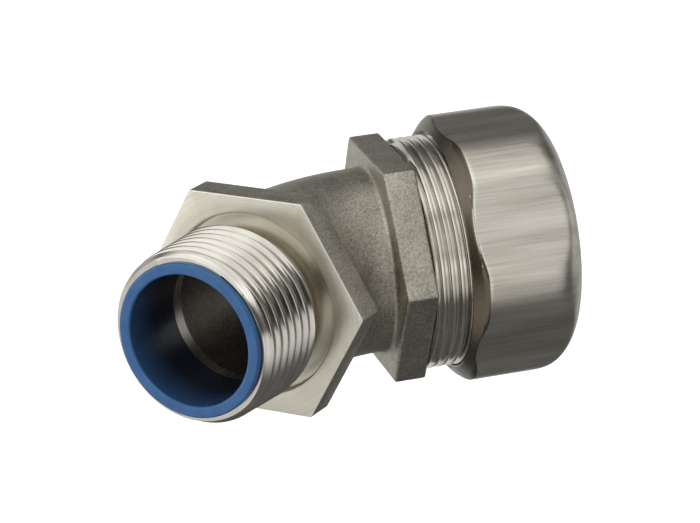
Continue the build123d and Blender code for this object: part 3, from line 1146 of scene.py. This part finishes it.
floorPlace = Matrix.Translation(middle - up * studio["drop"]) @ facing(up, right)
floor = flatSheet("floor", studio["floorSize"], studio["floorSize"], floorPlace)
floor.visible_diffuse = floor.visible_glossy = floor.visible_transmission = False
floorFinish, floorTree, floorShader = newFinish("paleFloor", 0.0)
floorShader.inputs["Base Color"].default_value = (*studio["floorColour"], 1)
floorShader.inputs["Roughness"].default_value = 0.9
floorShader.inputs["Specular IOR Level"].default_value = 0.1
floorShader.inputs["Emission Color"].default_value = (1, 1, 1, 1)
floorShader.inputs["Emission Strength"].default_value = studio["floorGlow"]
underside = addNode(floorTree, "ShaderNodeNewGeometry").outputs["Backfacing"]
clear = addNode(floorTree, "ShaderNodeBsdfTransparent").outputs[0]
inputs = {0: underside, 1: floorShader.outputs[0], 2: clear}
sides = addNode(floorTree, "ShaderNodeMixShader", inputs).outputs[0]
floorTree.links.new(sides, floorTree.nodes["Material Output"].inputs["Surface"])
floor.data.materials.append(floorFinish)

softBox = {"way": (-0.75, 0.35, -0.56), "distance": 0.6, "size": 0.34, "power": 0.12}
toward = studioWay(*softBox["way"])
boxMiddle = middle + toward * softBox["distance"]
boxLight = bpy.data.lights.new("leftBox", "AREA")
boxLight.size = softBox["size"]
boxLight.energy = softBox["power"]
leftBox = bpy.data.objects.new("leftBox", boxLight)
leftBox.matrix_world = Matrix.Translation(boxMiddle) @ facing(toward, right)
bpy.context.scene.collection.objects.link(leftBox)

# a dark card close to the pipe thread, seen only in its reflections
card = {"place": (-6 * mm, -17 * mm, -86 * mm), "width": 44 * mm, "height": 50 * mm}
side, lift, depth = card["place"]
cardMiddle = middle + right * side - down * lift + ahead * depth
cardPlace = Matrix.Translation(cardMiddle) @ turnedEye
darkCard = flatSheet("darkCard", card["width"], card["height"], cardPlace)
darkCard.visible_camera = darkCard.visible_diffuse = darkCard.visible_shadow = False
cardFinish, cardShader = newFinish("blackCard", 0.0)[::2]
cardShader.inputs["Base Color"].default_value = (0.015, 0.014, 0.012, 1)
cardShader.inputs["Roughness"].default_value = 0.8
darkCard.data.materials.append(cardFinish)

glows = (  # (turn to the right, height above level, half width, fade, all in degrees, strength)
    (-34, 26, 30, 30, 0.92),
    (26, 6, 15, 20, 0.55),
    (-8, -26, 16, 20, 0.8),
    (36, -28, 10, 16, 0.5),
    (-98, 2, 18, 15, 1.1),
    (-73, -38, 17, 18, 0.7),
    (22, 66, 20, 14, 0.6),
    (70, 30, 14, 30, 0.22),
    (80, 76, 8, 30, 0.12),
    (104, 6, 10, 18, 0.4),
    (146, 4, 12, 20, 0.35),
    (-160, 4, 18, 24, 0.6),
)
world = bpy.data.worlds.new("surround")
bpy.context.scene.world = world
world.use_nodes = True
sky = world.node_tree
sky.nodes.clear()
look = addNode(sky, "ShaderNodeTexCoord").outputs["Generated"]
brightness = studio["ambient"]
for turn, lift, width, fade, strength in glows:
    level = cos(radians(lift))
    way = studioWay(level * sin(radians(turn)), sin(radians(lift)), -level * cos(radians(turn)))
    inputs = {
        "Value": alike(sky, look, tuple(way)),
        "From Min": cos(radians(width + fade)),
        "From Max": cos(radians(width)),
        "To Max": strength,
    }
    glow = addNode(sky, "ShaderNodeMapRange", inputs, interpolation_type="SMOOTHSTEP")
    brightness = calc(sky, "ADD", glow.outputs[0], brightness)
inputs = dict.fromkeys(range(3), brightness)
grey = addNode(sky, "ShaderNodeCombineColor", inputs).outputs[0]
seen = addNode(sky, "ShaderNodeLightPath").outputs["Is Camera Ray"]
shown = mixColour(sky, seen, grey, (1, 1, 1, 1))
surround = addNode(sky, "ShaderNodeBackground", {"Color": shown, "Strength": 1.0}).outputs[0]
sky.links.new(surround, addNode(sky, "ShaderNodeOutputWorld").inputs["Surface"])
bpy.context.scene.view_settings.view_transform = "Standard"
print("camera and studio set")
